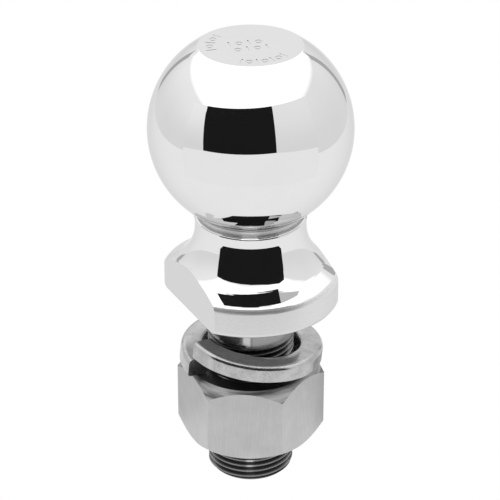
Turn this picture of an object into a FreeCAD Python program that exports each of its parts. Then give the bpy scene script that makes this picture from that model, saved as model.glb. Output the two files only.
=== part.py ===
"""Trailer hitch ball with its lock washer and nut.

Frame: origin at the centre of the flange's seating face, +Z towards the ball, X across the two
wrench flats. Millimetres and degrees. Every size is a named cell of the sheet "Dims".
"""
import FreeCAD, Part
import math
import os
import Sketcher
from FreeCAD import Rotation, Vector

DIMENSIONS = [
    # ball_stud: ball and neck
    ("ball_dia", 58.74),
    ("ball_height", 54.0),
    ("ball_flat_dia", 29.8),
    ("ball_flat_break", 0.4),
    ("recess_dia", 30.4),
    ("recess_blend", 0.5),
    ("ledge_dia", 32.9),
    ("ledge_height", 27.3),
    ("ledge_round", 0.8),
    ("neck_dia", 32.31),
    ("neck_top", 25.5),
    ("neck_top_blend", 10.0),
    ("flare_height", 17.11),
    ("flare_blend", 15.6),
    ("shoulder_dia", 42.6),
    ("shoulder_height", 12.24),
    ("shoulder_blend", 3.5),
    # ball_stud: stamped marks on the ball's flat
    ("mark_length", 2.9),
    ("mark_width", 0.36),
    ("mark_ring", 2.2),
    ("mark_depth", 0.12),
    ("mark_arc", 11.4),
    ("mark_row", 2.1),
    ("mark_pitch", 2.8),
    # ball_stud: flange
    ("rim_dia", 51.96),
    ("rim_height", 9.15),
    ("rim_top_round", 2.36),
    ("rim_foot_round", 1.5),
    ("flats_width", 40.2),
    ("flats_break", 0.3),
    # ball_stud: shank
    ("shank_dia", 25.4),
    ("shank_length", 57.15),
    ("shank_end_bevel", 1.5),
    ("shank_root_blend", 0.8),
    # 1-14 thread
    ("thread_pitch", 1.8143),
    ("thread_depth", 1.02),
    ("thread_root_width", 0.36),
    ("thread_flank", 30.0),
    ("thread_top", 10.6),
    ("thread_gap", 0.2),
    # lock_washer
    ("washer_outer_dia", 42.0),
    ("washer_inner_dia", 28.2),
    ("washer_thickness", 5.5),
    ("washer_corner", 1.45),
    ("washer_foot_corner", 0.8),
    ("washer_pitch", 7.0),
    ("washer_arc", 356.0),
    ("washer_turn", 183.0),
    ("washer_tilt", 5.2),
    ("washer_tilt_axis", 68.1),
    ("washer_aside", 0.8),
    ("washer_aside_to", 223.3),
    ("washer_drop", 22.84),
    # hex_nut
    ("nut_flats", 38.1),
    ("nut_thickness", 22.95),
    ("nut_drop", 21.85),
    ("nut_turn", 28.0),
    ("nut_face_dia", 36.3),
    ("nut_foot_dia", 37.6),
    ("nut_bevel", 41.5),
    ("nut_corner_break", 0.35),
    ("nut_mouth_dia", 26.9),
]


def make_sheet(doc):
    """The sheet of driving dimensions, one alias per cell."""
    sheet = doc.addObject("Spreadsheet::Sheet", "Dims")
    for row, (alias, value) in enumerate(DIMENSIONS, start=1):
        sheet.set(f"A{row}", alias)
        sheet.set(f"B{row}", str(value))
        sheet.setAlias(f"B{row}", alias)
    doc.recompute()
    return sheet


def size(name):
    """The value of one named dimension."""
    return dict(DIMENSIONS)[name]


def cells(expression):
    """An expression on the aliases, with @name written for a cell of the sheet."""
    return expression.replace("@", "Dims.")


def origin_feature(body, role):
    """A datum plane or axis of the body's own origin."""
    for feature in body.Origin.OriginFeatures:
        if feature.Role == role:
            return feature
    raise ValueError(role)


def add_sketch(body, name, role):
    """An empty sketch on one of the body's origin planes."""
    sketch = body.newObject("Sketcher::SketchObject", name)
    sketch.AttachmentSupport = [(origin_feature(body, role), "")]
    sketch.MapMode = "FlatFace"
    return sketch


def place(sketch, kind, index, expression, point=1):
    """Place a point by one distance from the sketch's origin."""
    number = sketch.addConstraint(Sketcher.Constraint(kind, -1, 1, index, point, 1.0))
    sketch.setExpression(f"Constraints[{number}]", cells(expression))


def place_corners(sketch, corners):
    """Construction points for the corners of an outline, each placed by two expressions.

    A corner with None for its first expression lies on the vertical axis.
    """
    for index, (across, along, _) in enumerate(corners):
        sketch.addGeometry(Part.Point(Vector(10 + index, index, 0)), True)
        if across is None:
            sketch.addConstraint(Sketcher.Constraint("PointOnObject", index, 1, -2))
        else:
            place(sketch, "DistanceX", index, across)
        place(sketch, "DistanceY", index, along)
    sketch.Document.recompute()
    points = []
    for index in range(len(corners)):
        point = sketch.Geometry[index]
        points.append(Vector(point.X, point.Y, 0))
    return points


def corner_arc(before, corner, after, radius):
    """Both ends of the arc that rounds a corner, the arc, and whether it turns left."""
    back = (before - corner).normalize()
    ahead = (after - corner).normalize()
    half = back.getAngle(ahead) / 2
    reach = radius / math.tan(half)
    centre = corner + (back + ahead).normalize() * (radius / math.sin(half))
    first = corner + back * reach
    last = corner + ahead * reach
    left = back.cross(ahead).z < 0
    angles = [math.atan2(end.y - centre.y, end.x - centre.x) for end in (first, last)]
    if not left:
        angles.reverse()
    arc = Part.ArcOfCircle(Part.Circle(centre, Vector(0, 0, 1), radius), *angles)
    return first, last, arc, left


def draw_outline(sketch, corners):
    """A closed outline; each corner is two expressions and the name of its round, or None."""
    points = place_corners(sketch, corners)
    count = len(points)
    ends = [(point, point) for point in points]
    arcs = {}
    for index, (_, _, rounding) in enumerate(corners):
        if rounding:
            near = points[index - 1], points[index], points[(index + 1) % count]
            first, last, arc, left = corner_arc(*near, size(rounding))
            ends[index] = (first, last)
            arcs[index] = (arc, left)
    lines = []
    for index in range(count):
        line = Part.LineSegment(ends[index][1], ends[(index + 1) % count][0])
        lines.append(sketch.addGeometry(line, False))
    for index in range(count):
        before = lines[index - 1]
        after = lines[index]
        if index not in arcs:
            sketch.addConstraint(Sketcher.Constraint("Coincident", before, 2, index, 1))
            sketch.addConstraint(Sketcher.Constraint("Coincident", after, 1, index, 1))
            continue
        arc = sketch.addGeometry(arcs[index][0], False)
        first, last = (1, 2) if arcs[index][1] else (2, 1)
        sketch.addConstraint(Sketcher.Constraint("Tangent", before, 2, arc, first))
        sketch.addConstraint(Sketcher.Constraint("Tangent", after, 1, arc, last))
        sketch.addConstraint(Sketcher.Constraint("PointOnObject", index, 1, before))
        sketch.addConstraint(Sketcher.Constraint("PointOnObject", index, 1, after))
        radius = sketch.addConstraint(Sketcher.Constraint("Radius", arc, arcs[index][0].Radius))
        sketch.setExpression(f"Constraints[{radius}]", cells(f"@{corners[index][2]}"))


def bind(feature, **expressions):
    """Bind properties of a feature to expressions on the sheet."""
    for name, expression in expressions.items():
        feature.setExpression(name.replace("_", "."), cells(expression))


def circle_edges(shape, radius, height):
    """Names of the circular edges of one radius at one height."""
    names = []
    for number, edge in enumerate(shape.Edges, start=1):
        if not isinstance(edge.Curve, Part.Circle):
            continue
        centre = edge.Curve.Center
        if abs(edge.Curve.Radius - radius) < 0.01 and abs(centre.z - height) < 0.01:
            names.append(f"Edge{number}")
    return names


def dress(body, kind, name, base, edges, **expressions):
    """A fillet or chamfer on named edges of the base feature."""
    if not edges:
        raise ValueError(f"{name} found no edge")
    feature = body.newObject(f"PartDesign::{kind}", name)
    feature.Base = (base, edges)
    bind(feature, **expressions)
    body.Document.recompute()
    return feature


def revolve(body, name, sketch):
    """A full turn of a sketch about the body's Z axis."""
    feature = body.newObject("PartDesign::Revolution", name)
    feature.Profile = sketch
    feature.ReferenceAxis = (origin_feature(body, "Z_Axis"), [""])
    feature.Angle = 360
    body.Document.recompute()
    return feature


def cut_thread(body, name, groove, height):
    """A right-hand helical groove about the body's Z axis."""
    feature = body.newObject("PartDesign::SubtractiveHelix", name)
    feature.Profile = groove
    feature.ReferenceAxis = (origin_feature(body, "Z_Axis"), [""])
    feature.Mode = "pitch-height-angle"
    bind(feature, Pitch="@thread_pitch", Height=height)
    feature.Angle = 0
    feature.Growth = 0
    feature.LeftHanded = False
    feature.Reversed = False
    body.Document.recompute()
    return feature


def stud_blank(body):
    """Shank, flange, flare, neck and recess as one turned blank."""
    sketch = add_sketch(body, "StudOutline", "XZ_Plane")
    draw_outline(sketch, [
        (None, "-@shank_length", None),
        ("@shank_dia / 2 - @shank_end_bevel", "-@shank_length", None),
        ("@shank_dia / 2", "-@shank_length + @shank_end_bevel", None),
        ("@shank_dia / 2", "0", "shank_root_blend"),
        ("@rim_dia / 2", "0", "rim_foot_round"),
        ("@rim_dia / 2", "@rim_height", "rim_top_round"),
        ("@shoulder_dia / 2", "@shoulder_height", "shoulder_blend"),
        ("@neck_dia / 2", "@flare_height", "flare_blend"),
        ("@neck_dia / 2", "@neck_top", "neck_top_blend"),
        ("@ledge_dia / 2", "@ledge_height", "ledge_round"),
        ("@recess_dia / 2", "@ledge_height", None),
        ("@recess_dia / 2", "@ball_height - @ball_dia / 4", None),
        (None, "@ball_height - @ball_dia / 4", None),
    ])
    return revolve(body, "StudBlank", sketch)


def ball(body):
    """The coupling ball, with its top cut flat."""
    feature = body.newObject("PartDesign::AdditiveSphere", "Ball")
    feature.AttachmentSupport = [(origin_feature(body, "XY_Plane"), "")]
    feature.MapMode = "FlatFace"
    bind(feature, Radius="@ball_dia / 2", AttachmentOffset_Base_z="@ball_height",
         Angle2="acos(@ball_flat_dia / @ball_dia)")
    body.Document.recompute()
    return feature


def mark_sketch(body, name, turn):
    """A sketch on the ball's flat, turned about the vertical axis."""
    sketch = add_sketch(body, name, "XY_Plane")
    sketch.AttachmentOffset = FreeCAD.Placement(Vector(), Rotation(Vector(0, 0, 1), turn))
    height = "@ball_height + sqrt((@ball_dia / 2) ^ 2 - (@ball_flat_dia / 2) ^ 2)"
    sketch.setExpression("AttachmentOffset.Base.z", cells(height))
    return sketch


def draw_bar(sketch, across, along):
    """A stroke standing along the sketch's vertical axis."""
    draw_outline(sketch, [
        (f"{across} - @mark_width / 2", f"{along} - @mark_length / 2", None),
        (f"{across} + @mark_width / 2", f"{along} - @mark_length / 2", None),
        (f"{across} + @mark_width / 2", f"{along} + @mark_length / 2", None),
        (f"{across} - @mark_width / 2", f"{along} + @mark_length / 2", None),
    ])


def draw_ring(sketch, across, along):
    """A ring-shaped stroke."""
    for number, radius in enumerate(("@mark_ring / 2", "@mark_ring / 2 - @mark_width")):
        rough = size("mark_ring") / 2 - number * size("mark_width")
        circle = Part.Circle(Vector(1, 1, 0), Vector(0, 0, 1), rough)
        index = sketch.addGeometry(circle, False)
        for kind, expression in (("DistanceX", across), ("DistanceY", along)):
            place(sketch, kind, index, expression, point=3)
        bound = sketch.addConstraint(Sketcher.Constraint("Radius", index, rough))
        sketch.setExpression(f"Constraints[{bound}]", cells(radius))


def stamp(body, name, sketch):
    """A shallow cut of one stamped mark."""
    pocket = body.newObject("PartDesign::Pocket", name)
    pocket.Profile = sketch
    bind(pocket, Length="@mark_depth")
    body.Document.recompute()
    return pocket


def stamp_arc(body, name, draw, turn, step, count):
    """Marks along an arc round the middle of the flat."""
    sketch = mark_sketch(body, name + "Outline", turn - 90)
    draw(sketch, "0", "@mark_arc")
    pocket = stamp(body, name, sketch)
    pattern = body.newObject("PartDesign::PolarPattern", name + "s")
    pattern.Originals = [pocket]
    pattern.Axis = (origin_feature(body, "Z_Axis"), [""])
    body.Tip = pattern
    pattern.Angle = step * (count - 1)
    pattern.Occurrences = count
    body.Document.recompute()


def stamp_row(body, name, draw, place_at, count):
    """Marks along a straight row across the flat."""
    turn, start, along = place_at
    sketch = mark_sketch(body, name + "Outline", turn)
    draw(sketch, f"{start} * @mark_pitch", along)
    pocket = stamp(body, name, sketch)
    pattern = body.newObject("PartDesign::LinearPattern", name + "s")
    pattern.Originals = [pocket]
    pattern.Direction = (sketch, ["H_Axis"])
    body.Tip = pattern
    pattern.Occurrences = count
    bind(pattern, Length=f"{2 * (count - 1)} * @mark_pitch")
    body.Document.recompute()


def stamped_marks(body):
    """Plain strokes and rings: two arcs and two rows, spelling nothing."""
    stamp_arc(body, "FrontBar", draw_bar, 230, 22, 4)
    stamp_arc(body, "FrontRing", draw_ring, 241, 22, 3)
    stamp_arc(body, "BackBar", draw_bar, 118, 26, 3)
    stamp_arc(body, "BackRing", draw_ring, 131, 26, 2)
    stamp_row(body, "UpperBar", draw_bar, (348, -2, "@mark_row"), 2)
    stamp_row(body, "UpperRing", draw_ring, (348, -1, "@mark_row"), 2)
    stamp_row(body, "LowerBar", draw_bar, (348, -0.5, "-@mark_row"), 2)
    stamp_row(body, "LowerRing", draw_ring, (348, -1.5, "-@mark_row"), 2)


def wrench_flats(body):
    """Two parallel flats milled on the flange for a wrench."""
    sketch = add_sketch(body, "FlatOutline", "XY_Plane")
    draw_outline(sketch, [
        ("@flats_width / 2", "-@rim_dia", None),
        ("@rim_dia", "-@rim_dia", None),
        ("@rim_dia", "@rim_dia", None),
        ("@flats_width / 2", "@rim_dia", None),
    ])
    pocket = body.newObject("PartDesign::Pocket", "WrenchFlat")
    pocket.Profile = sketch
    pocket.Reversed = True
    bind(pocket, Length="@ledge_height")
    mirror = body.newObject("PartDesign::Mirrored", "WrenchFlats")
    mirror.Originals = [pocket]
    mirror.MirrorPlane = (origin_feature(body, "YZ_Plane"), [""])
    body.Tip = mirror
    body.Document.recompute()
    return mirror


def flat_edges(shape):
    """Names of the curved edges where the wrench flats meet the flare and the rim's shoulder."""
    half = size("flats_width") / 2
    names = []
    for number, edge in enumerate(shape.Edges, start=1):
        box = edge.BoundBox
        flat = box.XLength < 0.01 and abs(abs(box.XMin) - half) < 0.01
        if flat and box.ZMin > size("rim_foot_round") + 1.0 and box.YLength > 0.5:
            names.append(f"Edge{number}")
    return names


def thread_groove(body):
    """The cross-section of the thread's groove, one turn below the shank's end."""
    groove = add_sketch(body, "ThreadGroove", "XZ_Plane")
    start = "-@shank_length - @thread_pitch"
    wide = "@thread_root_width / 2 + (@thread_depth + 0.5) * tan(@thread_flank)"
    draw_outline(groove, [
        ("@shank_dia / 2 - @thread_depth", f"{start} - @thread_root_width / 2", None),
        ("@shank_dia / 2 + 0.5", f"{start} - ({wide})", None),
        ("@shank_dia / 2 + 0.5", f"{start} + {wide}", None),
        ("@shank_dia / 2 - @thread_depth", f"{start} + @thread_root_width / 2", None),
    ])
    return groove


def make_ball_stud(doc):
    """Ball, neck, flange and threaded shank: one forging."""
    body = doc.addObject("PartDesign::Body", "BallStud")
    body.Label = "ball_stud"
    stud_blank(body)
    flats = wrench_flats(body)
    dress(body, "Fillet", "FlatsBreak", flats, flat_edges(flats.Shape), Radius="@flats_break")
    sphere = ball(body)
    radius = size("ball_dia") / 2
    flat_radius = size("ball_flat_dia") / 2
    flat_height = size("ball_height") + (radius ** 2 - flat_radius ** 2) ** 0.5
    top = dress(body, "Fillet", "BallFlatBreak", sphere,
                circle_edges(sphere.Shape, flat_radius, flat_height), Radius="@ball_flat_break")
    recess = size("recess_dia") / 2
    meet_height = size("ball_height") - (radius ** 2 - recess ** 2) ** 0.5
    dress(body, "Fillet", "RecessBlend", top,
          circle_edges(top.Shape, recess, meet_height), Radius="@recess_blend")
    stamped_marks(body)
    groove = thread_groove(body)
    cut_thread(body, "Thread", groove, "@shank_length + @thread_pitch - @thread_top")
    return body


def make_lock_washer(doc):
    """A left-hand coil of rounded rectangular bar, sitting slightly cocked and aside."""
    body = doc.addObject("PartDesign::Body", "LockWasher")
    body.Label = "lock_washer"
    section = add_sketch(body, "BarSection", "XZ_Plane")
    draw_outline(section, [
        ("@washer_inner_dia / 2", "0", "washer_corner"),
        ("@washer_outer_dia / 2", "0", "washer_foot_corner"),
        ("@washer_outer_dia / 2", "@washer_thickness", "washer_corner"),
        ("@washer_inner_dia / 2", "@washer_thickness", "washer_corner"),
    ])
    doc.recompute()
    coil = body.newObject("PartDesign::AdditiveHelix", "Coil")
    coil.Profile = section
    coil.ReferenceAxis = (origin_feature(body, "Z_Axis"), [""])
    coil.Mode = "pitch-height-angle"
    bind(coil, Pitch="@washer_pitch", Height="@washer_pitch * @washer_arc / 360")
    coil.Angle = 0
    coil.Growth = 0
    coil.LeftHanded = True
    coil.Reversed = False
    aside = math.radians(size("washer_aside_to"))
    along = math.radians(size("washer_tilt_axis"))
    tilt = Rotation(Vector(math.cos(along), math.sin(along), 0), size("washer_tilt"))
    turn = Rotation(Vector(0, 0, 1), size("washer_turn"))
    base = Vector(math.cos(aside), math.sin(aside), 0) * size("washer_aside")
    base.z = -size("washer_drop")
    body.Placement = FreeCAD.Placement(base, tilt * turn)
    doc.recompute()
    return body


def nut_hexagon(body):
    """The hexagonal blank, centred on the body's origin with a corner on X."""
    sketch = add_sketch(body, "Hexagon", "XY_Plane")
    corners = []
    for number in range(6):
        turn = number * 60
        corners.append((f"@nut_flats / 2 / cos(30) * cos({turn})",
                        f"@nut_flats / 2 / cos(30) * sin({turn})", None))
    draw_outline(sketch, corners)
    pad = body.newObject("PartDesign::Pad", "HexBlank")
    pad.Profile = sketch
    pad.Midplane = True
    bind(pad, Length="@nut_thickness")
    body.Document.recompute()
    return pad


def upright_edges(shape, radius):
    """Names of the straight vertical edges at one distance from the axis."""
    names = []
    for number, edge in enumerate(shape.Edges, start=1):
        if len(edge.Vertexes) != 2:
            continue
        low, high = (vertex.Point for vertex in edge.Vertexes)
        upright = abs(low.x - high.x) < 0.01 and abs(low.y - high.y) < 0.01
        if upright and abs(math.hypot(low.x, low.y) - radius) < 0.01:
            names.append(f"Edge{number}")
    return names


def turned_cut(body, name, corners):
    """A turned cut at one end of the nut."""
    sketch = add_sketch(body, name + "Outline", "XZ_Plane")
    draw_outline(sketch, corners)
    groove = body.newObject("PartDesign::Groove", name)
    groove.Profile = sketch
    groove.ReferenceAxis = (origin_feature(body, "Z_Axis"), [""])
    groove.Angle = 360
    body.Document.recompute()
    return groove


def turned_pair(body, name, corners):
    """The same turned cut at both ends of the nut."""
    groove = turned_cut(body, name, corners)
    mirror = body.newObject("PartDesign::Mirrored", name + "s")
    mirror.Originals = [groove]
    mirror.MirrorPlane = (origin_feature(body, "XY_Plane"), [""])
    body.Tip = mirror
    body.Document.recompute()
    return mirror


def nut_thread(body):
    """The inside thread, in step with the shank's thread and clear of it all round."""
    groove = add_sketch(body, "NutGroove", "XZ_Plane")
    middle = "-@shank_length + @nut_drop + @nut_thickness / 2"
    middle += " + (5.5 + @nut_turn / 360) * @thread_pitch"
    crest = "(@thread_pitch - @thread_root_width) / 2 + @thread_gap - @thread_depth * tan(@thread_flank)"
    wide = f"{crest} + (@thread_depth + 0.5) * tan(@thread_flank)"
    narrow = f"{crest} - @thread_gap * tan(@thread_flank)"
    draw_outline(groove, [
        ("@shank_dia / 2 - @thread_depth - 0.5", f"{middle} - ({wide})", None),
        ("@shank_dia / 2 + @thread_gap", f"{middle} - ({narrow})", None),
        ("@shank_dia / 2 + @thread_gap", f"{middle} + {narrow}", None),
        ("@shank_dia / 2 - @thread_depth - 0.5", f"{middle} + {wide}", None),
    ])
    body.Document.recompute()
    return cut_thread(body, "NutThread", groove, "15 * @thread_pitch")


def make_hex_nut(doc):
    """A double-bevelled hexagon nut with a real inside thread."""
    body = doc.addObject("PartDesign::Body", "HexNut")
    body.Label = "hex_nut"
    blank = nut_hexagon(body)
    corner = size("nut_flats") / 2 / math.cos(math.radians(30))
    dress(body, "Fillet", "CornerBreak", blank, upright_edges(blank.Shape, corner),
          Radius="@nut_corner_break")
    for name, end, face in (("TopBevel", "1", "@nut_face_dia / 2"),
                            ("FootBevel", "-1", "@nut_foot_dia / 2")):
        lower = f"@nut_thickness / 2 - (@nut_flats - {face}) * tan(@nut_bevel)"
        turned_cut(body, name, [
            (face, f"{end} * @nut_thickness / 2", None),
            ("@nut_flats", f"{end} * ({lower})", None),
            ("@nut_flats", f"{end} * (@nut_thickness / 2 + 1)", None),
            (face, f"{end} * (@nut_thickness / 2 + 1)", None),
        ])
    bore = "@shank_dia / 2 - @thread_depth + @thread_gap"
    turned_pair(body, "Bore", [
        (None, "0", None),
        (bore, "0", None),
        (bore, f"@nut_thickness / 2 - (@nut_mouth_dia / 2 - ({bore}))", None),
        ("@nut_mouth_dia / 2", "@nut_thickness / 2", None),
        ("@nut_mouth_dia / 2", "@nut_thickness / 2 + 1", None),
        (None, "@nut_thickness / 2 + 1", None),
    ])
    nut_thread(body)
    middle = -size("nut_drop") - size("nut_thickness") / 2
    turn = Rotation(Vector(0, 0, 1), size("nut_turn"))
    body.Placement = FreeCAD.Placement(Vector(0, 0, middle), turn)
    doc.recompute()
    return body


def main():
    doc = FreeCAD.newDocument("HitchBall")
    make_sheet(doc)
    bodies = [make_ball_stud(doc), make_lock_washer(doc), make_hex_nut(doc)]
    doc.recompute()
    for item in doc.Objects:
        if "Invalid" in item.State or "Error" in item.State:
            raise ValueError(f"{item.Name} is {item.State}")
    os.makedirs("parts", exist_ok=True)
    for body in bodies:
        if body.Shape.isNull() or not body.Shape.isValid():
            raise ValueError(f"{body.Label} has no valid shape")
        body.Shape.exportStep(f"parts/{body.Label}.step")


main()
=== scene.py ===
import math
from collections import namedtuple

import bpy
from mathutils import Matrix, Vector


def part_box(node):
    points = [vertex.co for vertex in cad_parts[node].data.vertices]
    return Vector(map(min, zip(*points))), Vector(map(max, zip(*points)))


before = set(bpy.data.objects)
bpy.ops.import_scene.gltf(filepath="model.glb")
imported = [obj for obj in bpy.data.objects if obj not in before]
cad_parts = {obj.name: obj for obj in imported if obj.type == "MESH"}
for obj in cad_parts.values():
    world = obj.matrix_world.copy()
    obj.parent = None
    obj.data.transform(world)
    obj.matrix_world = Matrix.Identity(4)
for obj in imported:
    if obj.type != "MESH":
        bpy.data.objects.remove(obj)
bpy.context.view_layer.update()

MM = 0.001

# The camera: azimuth 0 looks along +Y, and it stands to the left of the front.
CAMERA_AZIMUTH = -27.0
CAMERA_ELEVATION = 28.08
CAMERA_DISTANCE = 669.2 * MM
CAMERA_LENS = 166.1
CAMERA_ASIDE = 0.2 * MM
LOOK_AT = Vector((0, 0, 15.0 * MM))
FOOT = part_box("ball_stud")[0][2]
# The floor leaves room under the shank for the nut to come off.
FLOOR = FOOT - 27.0 * MM

# Heights and radii on the stud, in millimetres.
BALL_CENTRE = 54.0
RECESS = (27.3, 28.9)
RECESS_RADIUS = 15.6
RIM_TOP = 9.25
FLAT = 20.1
FLAT_TOP = 14.2
SHANK_RADIUS = 12.9
THREAD_TOP = -11.0
CREST = (12.35, 12.6)

# The black flag's outline on the ball: azimuth and elevation of its corners there.
WINDOW = ((-28.2, 9.4), (15.0, 10.2), (14.9, 36.8), (-31.2, 34.7))

# What a black flag still gives off.
BLACK = 0.012

# A shaded point in millimetres, its x and z, its radius and its direction round the axis.
Place = namedtuple("Place", "point x z radius way")


def toward(azimuth, elevation):
    """A direction from the object; azimuth is counted from the camera's, to its right."""
    a = math.radians(CAMERA_AZIMUTH + azimuth)
    e = math.radians(elevation)
    return Vector((math.sin(a) * math.cos(e), -math.cos(a) * math.cos(e), math.sin(e)))


def make_camera():
    data = bpy.data.cameras.new("camera")
    data.lens = CAMERA_LENS
    data.sensor_width = 36
    data.clip_start = 0.01
    data.clip_end = 50
    camera = bpy.data.objects.new("camera", data)
    bpy.context.collection.objects.link(camera)
    back = toward(0, CAMERA_ELEVATION)
    camera.location = LOOK_AT + back * CAMERA_DISTANCE - toward(90, 0) * CAMERA_ASIDE
    camera.rotation_mode = "QUATERNION"
    camera.rotation_quaternion = (-back).to_track_quat("-Z", "Y")
    bpy.context.scene.camera = camera


# ---------------------------------------------------------------- node helpers

class Nodes:
    """A short way to write a node tree."""

    def __init__(self, owner):
        owner.use_nodes = True
        self.tree = owner.node_tree
        self.tree.nodes.clear()

    def put(self, socket, value):
        if isinstance(value, bpy.types.NodeSocket):
            self.tree.links.new(value, socket)
        else:
            socket.default_value = value

    def add(self, kind, inputs=None, **settings):
        node = self.tree.nodes.new(kind)
        for name, value in settings.items():
            setattr(node, name, value)
        for name, value in (inputs or {}).items():
            self.put(node.inputs[name], value)
        return node

    def math(self, operation, *values):
        node = self.add("ShaderNodeMath", dict(enumerate(values)), operation=operation)
        return node.outputs[0]

    def plus(self, first, second):
        return self.math("ADD", first, second)

    def times(self, first, second):
        return self.math("MULTIPLY", first, second)

    def span(self, value, low, high, out_low=0.0, out_high=1.0):
        """value mapped smoothly from low..high to out_low..out_high."""
        node = self.add("ShaderNodeMapRange",
                        {"Value": value, "From Min": low, "From Max": high,
                         "To Min": out_low, "To Max": out_high})
        node.interpolation_type = "SMOOTHSTEP"
        return node.outputs[0]

    def fall(self, value, low, high):
        """1 below low and 0 above high."""
        return self.span(value, low, high, 1.0, 0.0)

    def between(self, value, low, high, soft):
        """1 where value lies between low and high, with soft ends."""
        return self.times(self.span(value, low - soft, low + soft),
                          self.fall(value, high - soft, high + soft))

    def blend(self, factor, first, second):
        """first where factor is 0, second where it is 1; numbers or grey levels."""
        node = self.add("ShaderNodeMix", data_type="FLOAT")
        for number, value in zip((0, 2, 3), (factor, first, second)):
            self.put(node.inputs[number], value)
        return node.outputs[0]

    def grey(self, value):
        node = self.add("ShaderNodeCombineColor", {0: value, 1: value, 2: value})
        return node.outputs[0]

    def place(self):
        where = self.add("ShaderNodeTexCoord").outputs["Object"]
        scaled = self.add("ShaderNodeVectorMath", {0: where, "Scale": 1 / MM},
                          operation="SCALE").outputs[0]
        split = self.add("ShaderNodeSeparateXYZ", {0: scaled})
        x, y, z = split.outputs
        radius = self.math("SQRT", self.plus(self.times(x, x), self.times(y, y)))
        way = self.math("DIVIDE", x, radius), self.math("DIVIDE", y, radius)
        return Place(scaled, x, z, radius, way)

    def rise(self):
        """How far the surface faces up: 1 on top, 0 on a side."""
        facing = self.add("ShaderNodeNewGeometry").outputs["Normal"]
        return self.add("ShaderNodeSeparateXYZ", {0: facing}).outputs[2]

    def round_noise(self, way, turns, along):
        """Noise drawn out round the axis; along changes from streak to streak."""
        vector = self.add("ShaderNodeCombineXYZ", {0: self.times(way[0], turns),
                                                   1: self.times(way[1], turns), 2: along})
        return self.noise(vector.outputs[0], 1.0, 3.0, 0.6)

    def noise(self, vector, scale, detail=2.0, rough=0.5):
        return self.add("ShaderNodeTexNoise", {"Vector": vector, "Scale": scale,
                                               "Detail": detail, "Roughness": rough}).outputs[0]

    def stretch(self, vector, factors):
        return self.add("ShaderNodeVectorMath", {0: vector, 1: factors},
                        operation="MULTIPLY").outputs[0]

    def metal(self, colour, roughness, height, depth, edge=1.0):
        """The metal shader, with colour as a grey level, a bump of a depth in millimetres
        and edge as its tint where it is seen edge on."""
        bump = self.add("ShaderNodeBump", {"Height": height, "Distance": depth * MM,
                                           "Strength": 1.0})
        shader = self.add("ShaderNodeBsdfPrincipled",
                          {"Base Color": self.grey(colour), "Metallic": 1.0,
                           "Roughness": roughness, "Normal": bump.outputs[0],
                           "Specular Tint": (edge, edge, edge, 1.0)})
        self.add("ShaderNodeOutputMaterial", {"Surface": shader.outputs[0]})


# ---------------------------------------------------------------- the studio

def glow(name, strength):
    material = bpy.data.materials.new(name)
    nodes = Nodes(material)
    light = nodes.add("ShaderNodeEmission", {"Color": (1, 1, 1, 1), "Strength": strength})
    nodes.add("ShaderNodeOutputMaterial", {"Surface": light.outputs[0]})
    return material


def graded_glow(name, heights, strengths):
    """A light whose strength changes from the lower height to the upper one."""
    material = bpy.data.materials.new(name)
    nodes = Nodes(material)
    where = nodes.add("ShaderNodeTexCoord").outputs["Object"]
    height = nodes.add("ShaderNodeSeparateXYZ", {0: where}).outputs[2]
    level = nodes.span(height, *heights, *strengths)
    light = nodes.add("ShaderNodeEmission", {"Color": (1, 1, 1, 1), "Strength": level})
    nodes.add("ShaderNodeOutputMaterial", {"Surface": light.outputs[0]})
    return material


def stage_mesh(name, verts, faces, material, reflected_only=True):
    """Part of the studio; it shows in reflections, and only the floor is seen directly."""
    mesh = bpy.data.meshes.new(name)
    mesh.from_pydata([tuple(v) for v in verts], [], faces)
    mesh.materials.append(material)
    obj = bpy.data.objects.new(name, mesh)
    bpy.context.collection.objects.link(obj)
    obj.visible_camera = not reflected_only
    obj.visible_shadow = not reflected_only
    obj.visible_diffuse = not reflected_only


def sheet(name, corners, place, material, steps=24):
    """A sheet between four corners in the order bottom left, bottom right, top right,
    top left; place turns a corner's two numbers into a point."""
    verts = []
    for row in range(steps + 1):
        up = row / steps
        for column in range(steps + 1):
            across = column / steps
            weights = ((1 - across) * (1 - up), across * (1 - up), across * up,
                       (1 - across) * up)
            first, second = (sum(w * n for w, n in zip(weights, numbers))
                             for numbers in zip(*corners))
            verts.append(place(first, second))
    wide = steps + 1
    faces = [(r * wide + c, r * wide + c + 1, (r + 1) * wide + c + 1, (r + 1) * wide + c)
             for r in range(steps) for c in range(steps)]
    stage_mesh(name, verts, faces, material)


def patch(azimuths, heights):
    """The four corners of a sheet with level and upright edges."""
    (left, right), (low, high) = azimuths, heights
    return (left, low), (right, low), (right, high), (left, high)


def dome(distance, centre=LOOK_AT):
    """Azimuth and elevation become a point on a sphere round the centre."""
    return lambda azimuth, elevation: centre + toward(azimuth, elevation) * distance


def on_table(azimuth, distance):
    """Azimuth and distance become a point just above the level of the shank's end."""
    return Vector((0, 0, FOOT + 0.5 * MM)) + toward(azimuth, 0) * distance


def level_sheet(name, middle, sides, ends, material, reflected_only=True):
    """A level rectangle; sides are its reach to the left and right as the camera sees
    it, ends its reach to the back and front."""
    (left, right), (back, front) = sides, ends
    verts = [middle + toward(90, 0) * x + toward(0, 0) * y for x, y in
             ((-left, -back), (right, -back), (right, front), (-left, front))]
    stage_mesh(name, verts, [(0, 1, 2, 3)], material, reflected_only)


def make_floor():
    """A white sheet: long to the front and back, narrower to the sides."""
    level_sheet("floor", Vector((0, 0, FLOOR)), (0.58, 0.48), (1.6, 1.6),
                glow("studio_floor", 1.0), reflected_only=False)


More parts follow.
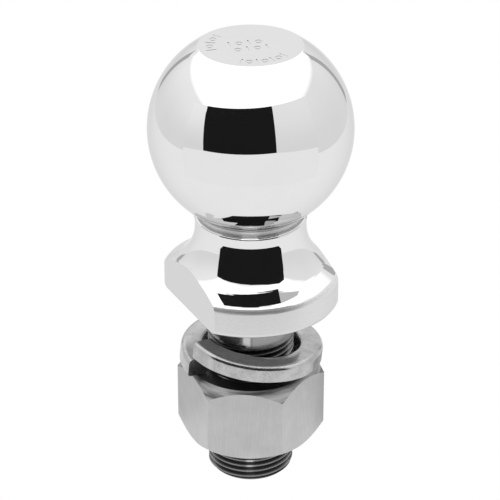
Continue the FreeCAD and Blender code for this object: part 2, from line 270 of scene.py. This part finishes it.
def make_world():
    """White to the camera; a slightly darker tent, brighter above and on the left,
    in reflections."""
    world = bpy.data.worlds.new("studio")
    bpy.context.scene.world = world
    nodes = Nodes(world)
    way = nodes.add("ShaderNodeTexCoord").outputs["Generated"]
    height = nodes.add("ShaderNodeSeparateXYZ", {0: way}).outputs[2]
    side = nodes.add("ShaderNodeVectorMath", {0: way, 1: toward(90, 0)},
                     operation="DOT_PRODUCT").outputs["Value"]
    above = nodes.span(side, -0.6, 0.6, 1.02, 0.93)
    below = 0.845
    level = nodes.blend(nodes.span(height, -0.1, 0.6), below, above)
    behind = nodes.add("ShaderNodeVectorMath", {0: way, 1: toward(180, 0)},
                       operation="DOT_PRODUCT").outputs["Value"]
    level = nodes.times(level, nodes.span(behind, 0.2, 0.85, 1.0, 1.09))
    tent = nodes.add("ShaderNodeBackground", {"Color": (1, 1, 1, 1), "Strength": level})
    white = nodes.add("ShaderNodeBackground", {"Color": (1, 1, 1, 1), "Strength": 1.0})
    seen = nodes.add("ShaderNodeLightPath").outputs["Is Camera Ray"]
    mixed = nodes.add("ShaderNodeMixShader", {0: seen, 1: tent.outputs[0], 2: white.outputs[0]})
    nodes.add("ShaderNodeOutputWorld", {"Surface": mixed.outputs[0]})


def make_softbox():
    """The large soft light overhead: a stack of panels, each larger and weaker than the
    one below it, which gives soft edges."""
    height = 1.3
    spread = (1.22, 1.7, 0.75)
    widening = 0.035
    fading = 0.065
    for number in range(8):
        aside, back, front = (height * (reach + widening * number) for reach in spread)
        middle = LOOK_AT + Vector((0, 0, height + 2.0 * MM * number))
        level_sheet("softbox_%d" % number, middle, (aside, aside), (back, front),
                    glow("softbox_light_%d" % number, 1.45 - fading * number))


def make_flags():
    """Two grey strips far off behind the object, and the black flags in front: one behind
    the camera and one on the table, with their edges shaped as the neck shows them."""
    gap = glow("gap_flag", 0.52)
    sheet("gap_left", patch((-151, -145), (-8, 20)), dome(1.2), gap)
    sheet("gap_right", patch((141, 147), (-12, 25)), dome(1.2), gap)
    black = glow("black_flag", BLACK)
    low, far = -5, 1.29
    # Azimuth, nearest distance on the table, and elevation of the top edge.
    outline = ((-62, 0.23, 30), (-52, 0.2, 36), (-38, 0.197, 41), (-19, 0.196, 45),
               (0, 0.195, 46.5), (35, 0.197, 45.5), (54, 0.2, 42.5), (61, 0.23, 36))
    for number, (one, two) in enumerate(zip(outline, outline[1:])):
        left, near_left, top_left = one
        right, near_right, top_right = two
        sheet("camera_flag_%d" % number,
              ((left, low), (right, low), (right, top_right), (left, top_left)),
              dome(1.25), black, steps=4)
        sheet("table_flag_%d" % number,
              ((left, near_left), (right, near_right), (right, far), (left, far)),
              on_table, black, steps=4)


def make_ball_flags():
    """A close set of flags that gives the ball its own, smaller window."""
    centre = Vector((0, 0, BALL_CENTRE * MM))
    shell = dome(31.2 * MM, centre)
    sheet("ball_window", WINDOW, dome(31.5 * MM, centre), glow("window_black", BLACK))
    wall_heights = [shell(0, elevation).z for elevation in (10, 36)]
    left = graded_glow("wall_left", wall_heights, (0.83, 1.04))
    right = graded_glow("wall_right", wall_heights, (0.83, 0.95))
    table = glow("table_white", 0.98)
    # The window's corners, and the outer ones of the white cards that trim it.
    low_left, low_right, top_right, top_left = WINDOW
    out_left, out_top_left = (-42, 8.0), (-42, 34.2)
    out_right, out_top_right = (42, 8.0), (42, 38.1)
    foot_left, foot_right = (-42, -10.5), (42, -10.5)
    sheet("trim_left", (out_left, low_left, top_left, out_top_left), shell, left)
    sheet("trim_right", (low_right, out_right, out_top_right, top_right), shell, right)
    sheet("trim_top", (top_left, (38, 37.9), (38, 44), (-36, 44)), shell,
          glow("trim_white", 1.45))
    sheet("trim_low", (foot_left, foot_right, low_right, low_left), shell, table)
    sheet("trim_low_left", (foot_left, foot_left, low_left, out_left), shell, table)
    sheet("trim_low_right", (foot_right, foot_right, out_right, low_right), shell, table)


def at_height(height):
    """Azimuth and radius in millimetres become a point at this height."""
    base = Vector((0, 0, height * MM))
    return lambda azimuth, radius: base + toward(azimuth, 0) * radius * MM


def tube(radius):
    """Azimuth and height in millimetres become a point at this radius."""
    return lambda azimuth, height: (toward(azimuth, 0) * radius + Vector((0, 0, height))) * MM


def make_close_cards():
    """Small cards close to the shoulder, shank, washer and thread, for their darks and glints."""
    recess = (27.3, 29.3)
    shank = (-11.5, -0.5)
    # Name, radius, azimuths, heights and strength.
    for name, radius, azimuths, heights, strength in (
            ("neck_glint", 18.4, (-11, 9), recess, 1.6),
            ("recess_grey", 18.7, (-70, 70), recess, 0.55),
            ("shank_glint", 15.3, (-12, 0), shank, 1.25),
            ("shank_grey", 15.3, (2, 75), shank, 0.7),
            ("shank_dark", 15.3, (-75, -17), shank, 0.08),
            ("washer_flag", 15.7, (-80, 80), shank, 0.22),
            ("nut_left", 42.0, (-150, -95), (-57, -36), 0.75),
            ("nut_right", 42.0, (95, 150), (-57, -30), 0.5),
            ("thread_glint", 20.0, (-8, 5), (-57, -46), 4.0)):
        sheet(name, patch(azimuths, heights), tube(radius),
              glow(name + "_light", strength), steps=8)
    over_shoulder = at_height(14.0)
    sheet("shoulder_flag", ((-28, 22.4), (23.5, 21.5), (23.5, 25.0), (-20, 25.4)),
          over_shoulder, glow("shoulder_black", BLACK), steps=8)
    sheet("shoulder_grey", ((23.5, 21.8), (42, 23.2), (39, 24.2), (23.5, 25.0)),
          over_shoulder, glow("shoulder_grey_light", 0.6), steps=8)


def make_studio():
    make_world()
    make_floor()
    make_softbox()
    make_flags()
    make_ball_flags()
    make_close_cards()
    settings = bpy.context.scene.view_settings
    settings.view_transform = "Standard"
    settings.look = "None"


# ---------------------------------------------------------------- materials

def chrome_plate():
    """Polished plate on the ball and neck; turned steel on the rim, recess and shank."""
    material = bpy.data.materials.new("chrome_plate")
    nodes = Nodes(material)
    at = nodes.place()

    # Where each finish lies; the thread's roots carry painted shade.
    rim = nodes.times(nodes.between(at.z, -0.5, RIM_TOP, 0.12),
                      nodes.span(at.radius, 13.5, 14.5))
    flats = nodes.times(nodes.math("GREATER_THAN", nodes.math("ABSOLUTE", at.x), FLAT - 0.05),
                        nodes.fall(at.z, FLAT_TOP, FLAT_TOP + 0.4))
    recess = nodes.times(nodes.between(at.z, *RECESS, 0.05),
                         nodes.fall(at.radius, RECESS_RADIUS, RECESS_RADIUS + 0.4))
    shank = nodes.times(nodes.fall(at.z, -0.4, 0.0),
                        nodes.fall(at.radius, SHANK_RADIUS, SHANK_RADIUS + 0.8))
    thread = nodes.fall(at.z, THREAD_TOP - 0.3, THREAD_TOP)
    crest = nodes.span(at.radius, *CREST)

    # The turning marks, and the uneven polish and haze of the plate.
    turned = nodes.round_noise(at.way, 2.0, nodes.times(at.z, 9.0))
    cloud = nodes.noise(at.point, 0.12, 3.0)
    haze = nodes.noise(at.point, 1.6, 4.0, 0.6)

    satin = nodes.plus(nodes.span(turned, 0.2, 0.8, 0.24, 0.34),
                       nodes.span(at.z, 7.4, RIM_TOP, 0.0, 0.22))
    rough = nodes.span(cloud, 0.3, 0.7, 0.015, 0.03)
    rough = nodes.blend(rim, rough, satin)
    rough = nodes.blend(flats, rough, nodes.span(haze, 0.3, 0.7, 0.16, 0.22))
    rough = nodes.blend(recess, rough, 0.42)
    rough = nodes.blend(shank, rough, nodes.span(turned, 0.2, 0.8, 0.22, 0.3))

    # Thread: the roots are painted shade at 0.1; the crests are a darker grey with the turning
    # marks in it.
    painted_shade_roots_and_crests = nodes.blend(crest, 0.1, nodes.span(turned, 0.25, 0.75, 0.2, 0.3))
    colour = nodes.span(cloud, 0.3, 0.7, 0.785, 0.775)
    colour = nodes.blend(rim, colour, nodes.span(turned, 0.2, 0.8, 0.66, 0.72))
    colour = nodes.blend(flats, colour, nodes.span(haze, 0.3, 0.7, 0.69, 0.71))
    colour = nodes.blend(recess, colour, 0.6)
    colour = nodes.blend(shank, colour, nodes.span(turned, 0.25, 0.75, 0.4, 0.46))
    colour = nodes.blend(thread, colour, painted_shade_roots_and_crests)

    cut = nodes.plus(nodes.times(rim, 0.05), nodes.times(shank, 0.03))
    lines = nodes.times(nodes.math("SUBTRACT", turned, 0.5), cut)
    nodes.metal(colour, rough, lines, 0.05, edge=0.8)
    return material


def washer_steel():
    """Dull zinc plate, clouded, with a faint grain along the bar; the faces that look up carry
    painted shade.
    """
    material = bpy.data.materials.new("washer_steel")
    nodes = Nodes(material)
    at = nodes.place()
    grain = nodes.round_noise(at.way, 4.0, nodes.times(nodes.plus(at.z, at.radius), 3.0))
    cloud = nodes.noise(at.point, 0.22, 4.0, 0.65)
    speck = nodes.noise(at.point, 2.4, 2.0, 0.5)
    colour = nodes.span(cloud, 0.3, 0.7, 0.42, 0.56)
    # Painted shade: faces that look up are made up to 18% darker.
    colour = nodes.times(colour, nodes.span(nodes.rise(), 0.6, 0.95, 1.0, 0.82))
    colour = nodes.times(colour, nodes.span(speck, 0.3, 0.75, 1.0, 0.88))
    rough = nodes.span(grain, 0.25, 0.75, 0.16, 0.26)
    nodes.metal(colour, rough, nodes.plus(grain, nodes.times(speck, 0.4)), 0.012)
    return material


def nut_steel():
    """Bright zinc over steel, brushed up and down on the six sides; painted shade darkens the
    turned chamfer on top, mottled by its turning marks, and the flat top face under the washer."""
    material = bpy.data.materials.new("nut_steel")
    nodes = Nodes(material)
    at = nodes.place()
    rise = nodes.rise()
    # Painted shade mask: the chamfer on top, under the washer's overhang.
    painted_shade_bevel = nodes.math("GREATER_THAN", rise, 0.4)
    # Painted shade mask: the flat top face, in the gap under the washer.
    painted_shade_seat = nodes.math("GREATER_THAN", rise, 0.95)
    grain = nodes.noise(nodes.stretch(at.point, (9.0, 9.0, 0.16)), 1.0, 3.0, 0.65)
    cloud = nodes.noise(at.point, 0.1, 3.0, 0.6)
    speck = nodes.noise(at.point, 1.7, 2.0, 0.6)
    turned = nodes.round_noise(at.way, 1.3, nodes.times(at.radius, 0.9))
    colour = nodes.span(grain, 0.25, 0.75, 0.45, 0.54)
    colour = nodes.times(colour, nodes.span(cloud, 0.3, 0.7, 0.94, 1.03))
    # Painted shade on the top chamfer, mottled by its turning marks.
    colour = nodes.blend(painted_shade_bevel, colour, nodes.span(turned, 0.3, 0.7, 0.08, 0.34))
    # Painted shade: the flat top face under the washer is made dark.
    colour = nodes.blend(painted_shade_seat, colour, 0.1)
    rough = nodes.span(grain, 0.2, 0.8, 0.3, 0.42)
    nodes.metal(colour, rough, nodes.plus(grain, nodes.times(speck, 0.25)), 0.01)
    return material


def repaint(node, material):
    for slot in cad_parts[node].material_slots:
        slot.material = material


make_camera()
make_studio()
repaint("ball_stud", chrome_plate())
repaint("lock_washer", washer_steel())
repaint("hex_nut", nut_steel())
